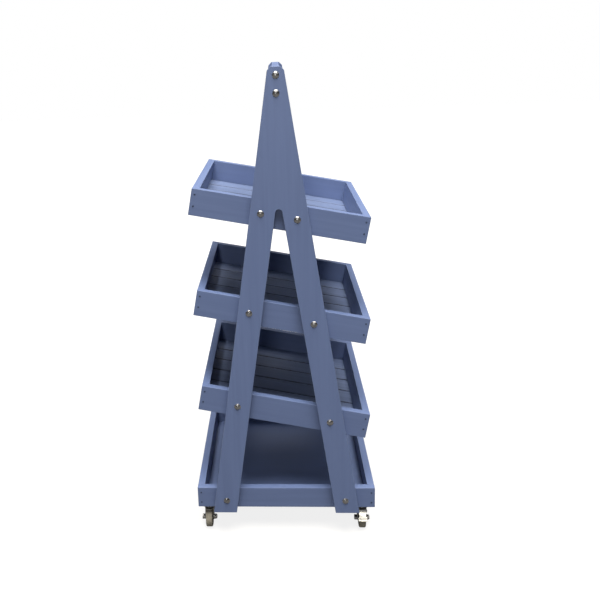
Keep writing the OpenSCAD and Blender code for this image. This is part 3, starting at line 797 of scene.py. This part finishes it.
    def pedal(self):
        """Brake pedal curved round the upper back of the wheel, with a ridged lip to step on."""
        bm = new_mesh()
        inner = WHEEL_R + PEDAL_GAP
        outer = inner + PEDAL_T
        for start, width, steps in ((PEDAL_TOP, PEDAL_W, 18), (PEDAL_FLARE, LIP_W, 8)):
            curve = arc(self.axle, outer, start, PEDAL_FOOT, steps)
            curve += arc(self.axle, inner, PEDAL_FOOT, start, steps)
            add_prism(bm, curve, width, self.at @ sideways(-width / 2), CUT_EDGE_R)
        foot = math.radians(PEDAL_FOOT)
        along = Vector((math.cos(foot), math.sin(foot)))
        thick = Vector((along.y, -along.x)) * PEDAL_T
        root, end = Vector(self.axle) + along * inner, Vector(self.axle) + along * (outer + LIP_LEN)
        lip = [tuple(corner) for corner in (root, end, end + thick, root + thick)]
        add_prism(bm, lip, LIP_W, self.at @ sideways(-LIP_W / 2), 0.5 * MM)
        straight = RIDGE_HALF_LEN - 0.2 * MM
        ridge = [(0, -RIDGE_HALF_LEN), (RIDGE_R, -straight), (RIDGE_R, straight), (0, RIDGE_HALF_LEN)]
        for rise in (0.6 * MM, 1.8 * MM):
            spot = Vector(self.axle) + along * (outer + rise) + thick
            add_turned(bm, ridge, self.at @ facing((0, *spot), (1, 0, 0)), 12)
        eye = ring_profile(BRAKE_PIN_R + RUN_GAP, BRAKE_EYE_R, HUB_W)
        add_turned(bm, eye, self.along_pin(-HUB_W / 2), 28)
        # The pedal's paler zinc is a painted reflection.
        piece(f"{self.name}_brake_pedal_zinc", bm, ZINC_PAINTED_REFLECTION, f"{self.name}_brake", "zinc_steel",
              f"{self.name}_brake_pedal")

    def brake_pin(self):
        """The pin that the pedal turns on, with a riveted end on each side."""
        bm = new_mesh()
        rod = [(0, 0), (BRAKE_PIN_R, 0), (BRAKE_PIN_R, FORK_W), (0, FORK_W)]
        add_turned(bm, rod, self.along_pin(-FORK_W / 2), 20)
        rivet = dome_profile(BRAKE_RIVET_R, BRAKE_RIVET_H, 0.2 * MM)
        for side in SIDES:
            add_turned(bm, rivet, self.along_pin(side * FORK_W / 2, side), 24)
        piece(f"{self.name}_brake_pin_steel", bm, BOLT_STEEL, self.swivel, "bolt_steel",
              f"{self.name}_brake_pin")

    def build(self):
        """All of this castor's own pieces."""
        self.plate()
        self.fork()
        self.axle_bolt()
        self.rolling()
        if self.braked:
            self.pedal()
            self.brake_pin()


def castor_fixings(castors):
    """Rivets that hold the forks up, and the screws through the plates."""
    rivets, screws = new_mesh(), new_mesh()
    head = [(radius, -z) for radius, z in dome_profile(KINGPIN_HEAD_R, KINGPIN_HEAD_H)]
    socket = [(1.3 * MM, 1.9 * MM), (1.0 * MM, 1.1 * MM), (0, 0.9 * MM)]
    pan = dome_profile(SCREW_HEAD_R, SCREW_HEAD_H, 0.8 * MM)[:-3] + socket
    for castor in castors:
        add_turned(rivets, head, castor.lifted(castor.crown_z), 36)
        for x in SIDES:
            for y in SIDES:
                spot = (x * SCREW_SPREAD / 2, y * SCREW_SPREAD / 2, castor.plate_z)
                add_turned(screws, pan, castor.at @ facing(spot, (0, 0, -1)), 24)
    piece("castor_kingpins_zinc", rivets, ZINC, "frame", "zinc_steel", "castor_kingpins")
    piece("castor_screws_zinc", screws, ZINC, "frame", "zinc_steel", "castor_screws")


# ---- The trolley ----

end_panels()
upright_board("top_rail", 1)
tilted_trays()
upright_board("base_front_board", 1)
upright_board("base_back_board", 1)
upright_board("base_left_board", 0)
upright_board("base_right_board", 0)
upright_board("base_floor", 0)
bolts()
rail_fixings()
nails()
all_castors = [Castor(name) for name in CORNERS]
for each in all_castors:
    each.build()
castor_fixings(all_castors)


# ---- Stage, light and camera ----

LAMP_AIM = (0, 0, 0.6)


def lay_floor():
    """A wide plain floor under the wheels."""
    bm = bmesh.new()
    bmesh.ops.create_grid(bm, x_segments=8, y_segments=8, size=12)
    mesh = bpy.data.meshes.new("floor")
    bm.to_mesh(mesh)
    bm.free()
    mesh.materials.append(floor_material())
    ground = bpy.data.objects.new("floor", mesh)
    bpy.context.scene.collection.objects.link(ground)


def add_lamp(name, place, size, power, tint):
    """A soft square lamp that points at the middle of the trolley."""
    data = bpy.data.lights.new(name, "AREA")
    data.size = size
    data.energy = power
    data.color = tint
    lamp = bpy.data.objects.new(name, data)
    lamp.location = place
    lamp.rotation_euler = (Vector(LAMP_AIM) - Vector(place)).to_track_quat("-Z", "Y").to_euler()
    bpy.context.scene.collection.objects.link(lamp)


def light_world(level, zenith, seen):
    """Light that grows from the level towards the zenith, behind a backdrop that the camera sees as white."""
    world = bpy.data.worlds.new("studio")
    world.use_nodes = True
    tree = world.node_tree
    tree.nodes.clear()
    direction = node(tree, "ShaderNodeTexCoord").outputs["Generated"]
    height = node(tree, "ShaderNodeSeparateXYZ", {"Vector": direction}).outputs["Z"]
    camera_ray = node(tree, "ShaderNodeLightPath").outputs["Is Camera Ray"]
    sky = remap(tree, height, 0.25, 0.9, level, zenith)
    strength = node(tree, "ShaderNodeMix", {0: camera_ray, 2: sky, 3: seen}).outputs[0]
    backdrop = node(tree, "ShaderNodeBackground", {"Color": (1, 1, 1, 1), "Strength": strength})
    node(tree, "ShaderNodeOutputWorld", {"Surface": backdrop.outputs["Background"]})
    bpy.context.scene.world = world


def add_camera():
    """A camera at standing height off the left end, turned so that the trolley sits left of centre."""
    place = Vector((-0.7, -1843.4, 1218.3)) * MM
    yaw, pitch, roll = -0.0733, 0.2287, -0.0412
    shift = (0.121, -0.140)
    forward = Vector((math.sin(yaw) * math.cos(pitch), math.cos(yaw) * math.cos(pitch), -math.sin(pitch)))
    right = Vector((math.cos(yaw), -math.sin(yaw), 0))
    up = right.cross(forward)
    rolled_right = right * math.cos(roll) + up * math.sin(roll)
    rolled_up = up * math.cos(roll) - right * math.sin(roll)
    data = bpy.data.cameras.new("camera")
    data.sensor_width = 36
    data.lens = 42.94
    camera = bpy.data.objects.new("camera", data)
    turn = Matrix((rolled_right, rolled_up, -forward)).transposed()
    camera.matrix_world = Matrix.Translation(place) @ turn.to_4x4()
    bpy.context.scene.collection.objects.link(camera)
    bpy.context.scene.camera = camera
    for key, amount in zip(("shift_x", "shift_y"), shift):
        shift_only_from(data, key, amount, camera, place.y)


def shift_only_from(data, key, amount, camera, home_y):
    """Shifts the lens only while the camera stands where it was first put."""
    driver = data.driver_add(key).driver
    driver.type = "SCRIPTED"
    stand = driver.variables.new()
    stand.name = "y"
    stand.type = "TRANSFORMS"
    stand.targets[0].id = camera
    stand.targets[0].transform_type = "LOC_Y"
    driver.expression = f"{amount} if abs(y - {home_y:.4f}) < 0.0005 else 0.0"


lay_floor()
light_world(level=0.06, zenith=0.45, seen=1.0)
add_lamp("overhead", place=(0.3, -1.7, 6.6), size=4.2, power=1000, tint=(1.0, 0.94, 0.84))
add_lamp("back_sheen", place=(0.4, 2.8, 5.6), size=3.0, power=80, tint=(1.0, 0.96, 0.88))
add_lamp("glint", place=(-0.4, -3.9, 1.6), size=0.45, power=16, tint=(1.0, 0.97, 0.90))
add_camera()
bpy.context.scene.view_settings.view_transform = "Standard"
